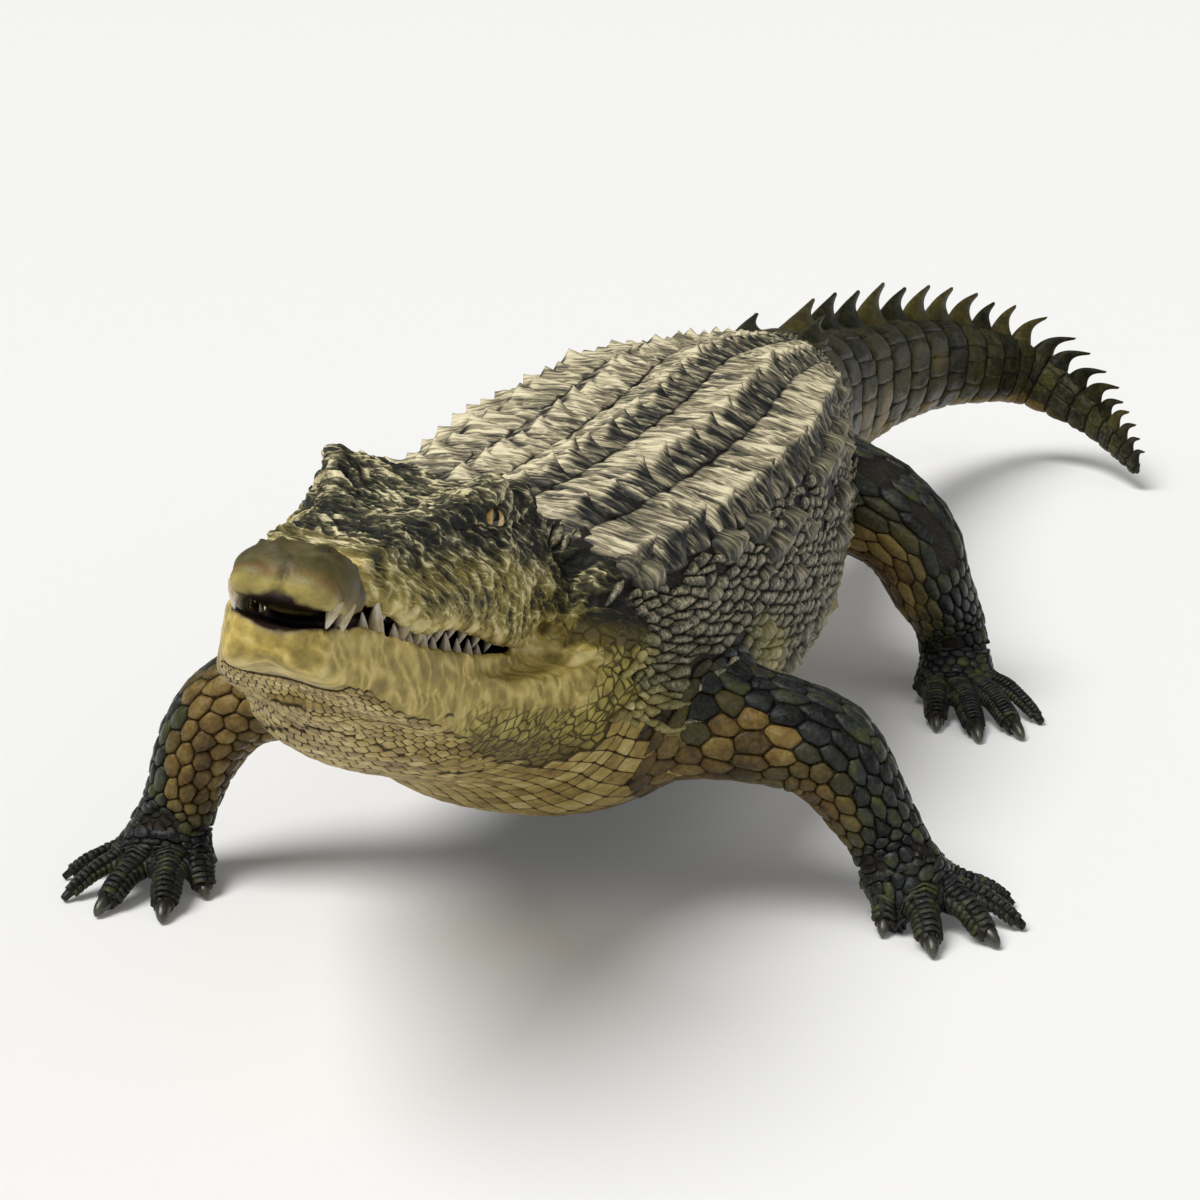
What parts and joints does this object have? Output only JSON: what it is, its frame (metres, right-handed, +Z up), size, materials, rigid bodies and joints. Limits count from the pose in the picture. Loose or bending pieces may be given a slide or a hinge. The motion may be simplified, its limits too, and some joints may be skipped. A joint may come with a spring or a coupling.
{
  "type": "nile crocodile model",
  "caption": "Life-size standing Nile crocodile with raised head, slightly open toothed jaws, splayed legs and a crested tail curled to its left.",
  "frame": {"origin": "centre of the bounding box at floor level, under the animal", "axes": "-Y is the way the animal faces, +X is its left side, +Z is up"},
  "size_m": [1.1082, 3.2102, 0.5428],
  "materials": {
    "hide_dark": "dark olive-grey crocodile hide",
    "hide_olive": "olive bony hide of the head",
    "hide_pale": "pale mustard hide of jaw and throat",
    "claw_horn": "dull olive-grey horn",
    "eye": "wet amber eyeball"
  },
  "bodies": {
    "root": {"claw_front_left_1": "claw_horn", "claw_front_left_2": "claw_horn", "claw_front_left_3": "claw_horn", "claw_front_right_1": "claw_horn", "claw_front_right_2": "claw_horn", "claw_front_right_3": "claw_horn", "claw_hind_left_1": "claw_horn", "claw_hind_left_2": "claw_horn", "claw_hind_left_3": "claw_horn", "claw_hind_right_1": "claw_horn", "claw_hind_right_2": "claw_horn", "claw_hind_right_3": "claw_horn", "eye_left": "eye", "eye_right": "eye", "foot_hind_left": "hide_dark", "foot_hind_right": "hide_dark", "forearm_front_left": "hide_dark", "forearm_front_right": "hide_dark", "hand_front_left": "hide_dark", "hand_front_right": "hide_dark", "head_upper": "hide_olive", "lower_jaw": "hide_pale", "neck": "hide_pale", "shank_hind_left": "hide_dark", "shank_hind_right": "hide_dark", "tail_base": "hide_dark", "tail_mid": "hide_dark", "tail_tip": "hide_dark", "thigh_hind_left": "hide_dark", "thigh_hind_right": "hide_dark", "trunk": "hide_dark", "upper_arm_front_left": "hide_dark", "upper_arm_front_right": "hide_dark"}
  },
  "joints": []
}
